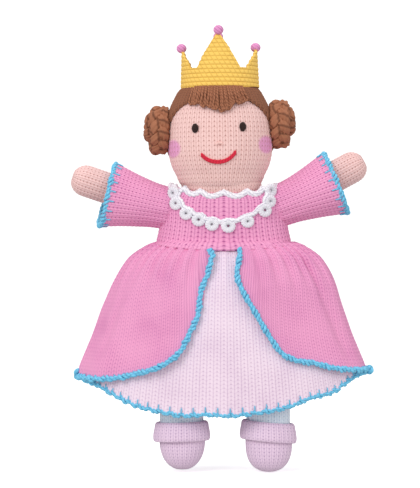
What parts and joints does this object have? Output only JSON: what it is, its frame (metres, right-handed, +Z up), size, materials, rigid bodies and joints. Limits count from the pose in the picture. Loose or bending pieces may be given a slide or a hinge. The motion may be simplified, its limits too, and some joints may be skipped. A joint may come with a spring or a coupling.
{
  "type": "knitted princess hand puppet",
  "caption": "Knitted glove puppet of a princess: stuffed head with plait coils and a crocheted crown, sleeves for finger and thumb, layered skirt that takes the hand, hanging legs.",
  "frame": {"origin": "centre of the hand opening, level with the lowest point of the underskirt's hem", "axes": "+Z up from the hem to the crown, -Y the way the face looks, +X towards the puppet's own left hand"},
  "size_m": [0.246, 0.0985, 0.3555],
  "materials": {
    "pink_knit": "matt mercerised cotton, plain knit",
    "pale_knit": "matt mercerised cotton, plain knit",
    "blue_crochet": "matt cotton, crochet chain",
    "white_crochet": "matt cotton, crochet picots",
    "skin_knit": "matt cotton, fine plain knit",
    "stocking_knit": "matt cotton, plain knit",
    "brown_yarn": "matt brown yarn",
    "gold_crochet": "matt cotton, crochet rows",
    "orchid_yarn": "matt cotton bobble",
    "black_yarn": "satin embroidery",
    "red_yarn": "satin embroidery",
    "nose_yarn": "satin embroidery",
    "fibre": "loose fibre filling",
    "card": "rolled card"
  },
  "bodies": {
    "torso": {"bodice": "pink_knit", "underskirt": "pale_knit", "underskirt_edging": "blue_crochet", "overskirt": "pink_knit", "overskirt_edging": "blue_crochet", "lace_collar": "white_crochet", "lace_necklace": "white_crochet"},
    "neck": {"head_finger_tube": "card"},
    "head": {"head": "skin_knit", "head_stuffing": "fibre", "right_eye": "black_yarn", "left_eye": "black_yarn", "nose_stitch": "nose_yarn", "mouth_stitch": "red_yarn", "hair_cap": "brown_yarn", "hair_fringe": "brown_yarn", "right_plait_coil": "brown_yarn", "left_plait_coil": "brown_yarn", "crown": "gold_crochet", "front_crown_bobble": "orchid_yarn", "back_crown_bobble": "orchid_yarn", "right_crown_bobble": "orchid_yarn", "left_crown_bobble": "orchid_yarn"},
    "right_shoulder": {"right_armhole_seam": "pink_knit"},
    "right_arm": {"right_sleeve": "pink_knit", "right_sleeve_edging": "blue_crochet", "right_hand": "skin_knit", "right_hand_stuffing": "fibre"},
    "right_leg": {"right_stocking": "stocking_knit", "right_leg_stuffing": "fibre", "right_bootee": "pale_knit", "right_bootee_cuff": "pale_knit"},
    "left_shoulder": {"left_armhole_seam": "pink_knit"},
    "left_arm": {"left_sleeve": "pink_knit", "left_sleeve_edging": "blue_crochet", "left_hand": "skin_knit", "left_hand_stuffing": "fibre"},
    "left_leg": {"left_stocking": "stocking_knit", "left_leg_stuffing": "fibre", "left_bootee": "pale_knit", "left_bootee_cuff": "pale_knit"}
  },
  "joints": [
    {"name": "head_nod", "type": "hinge", "parent": "torso", "child": "neck", "pos_m": [-0.0026, 0, 0.186], "axis": [1, 0, 0], "range_deg": [-12, 14]},
    {"name": "head_turn", "type": "hinge", "parent": "neck", "child": "head", "pos_m": [-0.0026, 0, 0.186], "axis": [-0.014, 0, 0.9999], "range_deg": [-35, 35]},
    {"name": "right_arm_forward", "type": "hinge", "parent": "torso", "child": "right_shoulder", "pos_m": [-0.048, 0, 0.1685], "axis": [0, 0, 1], "range_deg": [-10, 30]},
    {"name": "right_arm_raise", "type": "hinge", "parent": "right_shoulder", "child": "right_arm", "pos_m": [-0.048, 0, 0.1685], "axis": [0, 1, 0], "range_deg": [-25, 25]},
    {"name": "left_arm_forward", "type": "hinge", "parent": "torso", "child": "left_shoulder", "pos_m": [0.048, 0, 0.171], "axis": [0, 0, -1], "range_deg": [-10, 30]},
    {"name": "left_arm_raise", "type": "hinge", "parent": "left_shoulder", "child": "left_arm", "pos_m": [0.048, 0, 0.171], "axis": [0, -1, 0], "range_deg": [-30, 15]},
    {"name": "right_leg_swing", "type": "hinge", "parent": "torso", "child": "right_leg", "pos_m": [-0.0345, -0.015, 0.022], "axis": [1, 0, 0], "range_deg": [-10, 20]},
    {"name": "left_leg_swing", "type": "hinge", "parent": "torso", "child": "left_leg", "pos_m": [0.0345, -0.015, 0.022], "axis": [1, 0, 0], "range_deg": [-10, 20]}
  ]
}
